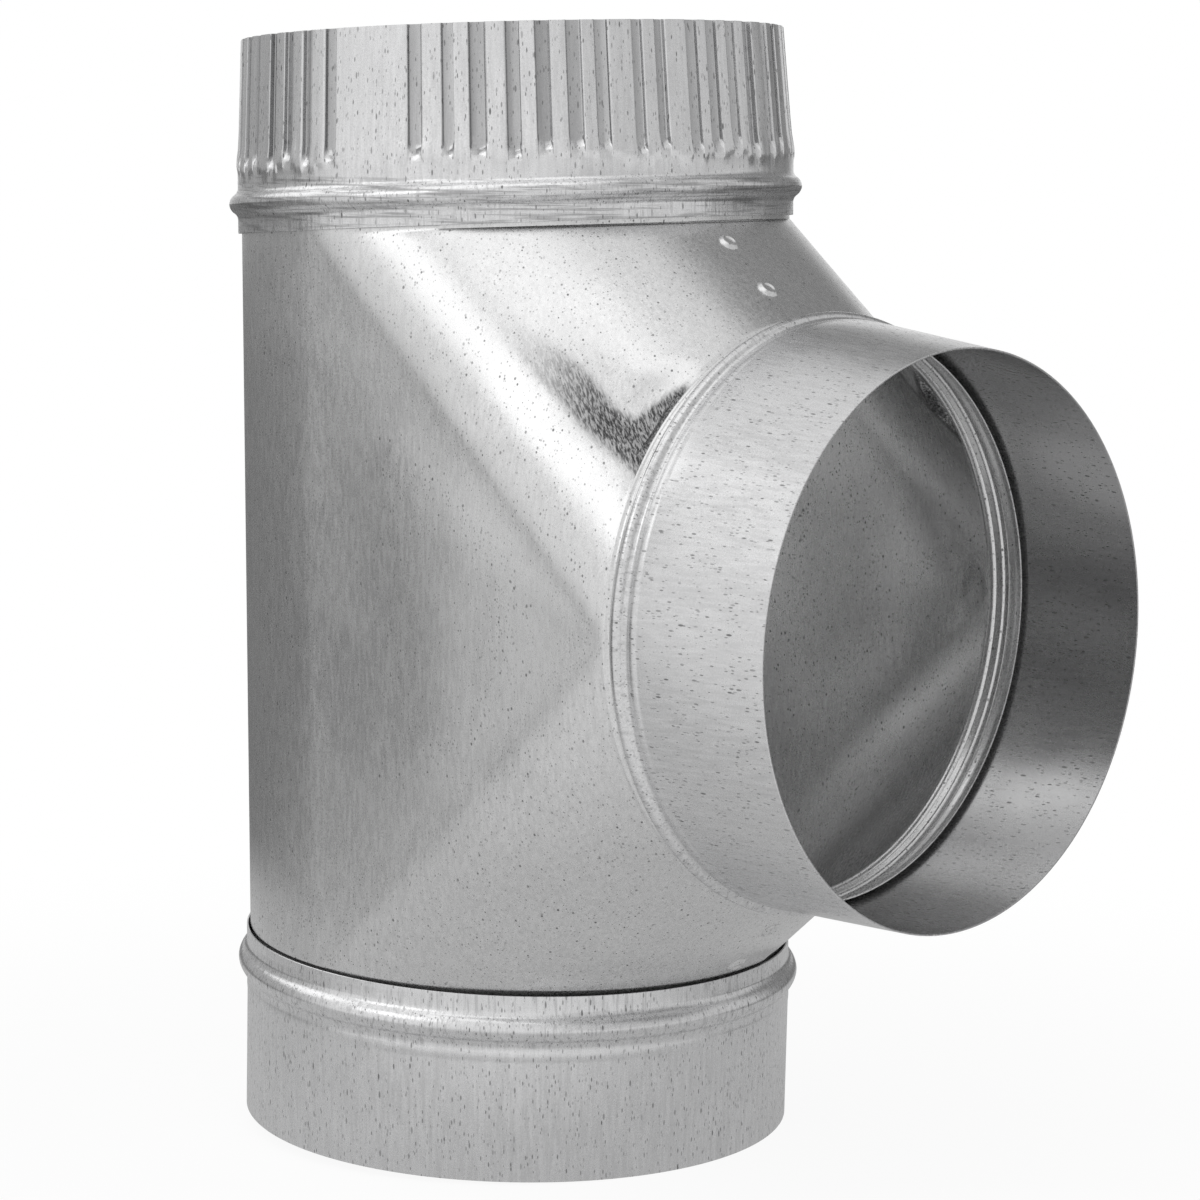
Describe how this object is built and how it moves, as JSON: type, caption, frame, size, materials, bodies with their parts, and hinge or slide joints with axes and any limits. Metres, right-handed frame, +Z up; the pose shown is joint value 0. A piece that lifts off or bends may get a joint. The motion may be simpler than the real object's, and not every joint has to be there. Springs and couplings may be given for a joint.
{
  "type": "furnace pipe tee",
  "caption": "Sheet-metal tee for round furnace pipe: a wrapped and lapped body with a plain lower collar, a crimped upper collar and a plain side branch.",
  "frame": {"origin": "centre of the lower mouth, on the plane of its rim, where the tee stands", "axes": "+Z up the run to the crimped end, +X along the branch, Y across; the XZ plane is the tee's plane of near symmetry"},
  "size_m": [0.2374, 0.1572, 0.3048],
  "materials": {
    "body_steel": "bright galvanised sheet with fine dark specks",
    "collar_steel": "bright galvanised sheet with fine dark streaks along the collar"
  },
  "bodies": {
    "root": {"body_sheet": "body_steel", "crimped_collar": "collar_steel", "lower_collar": "collar_steel", "branch_collar": "collar_steel"}
  },
  "joints": []
}
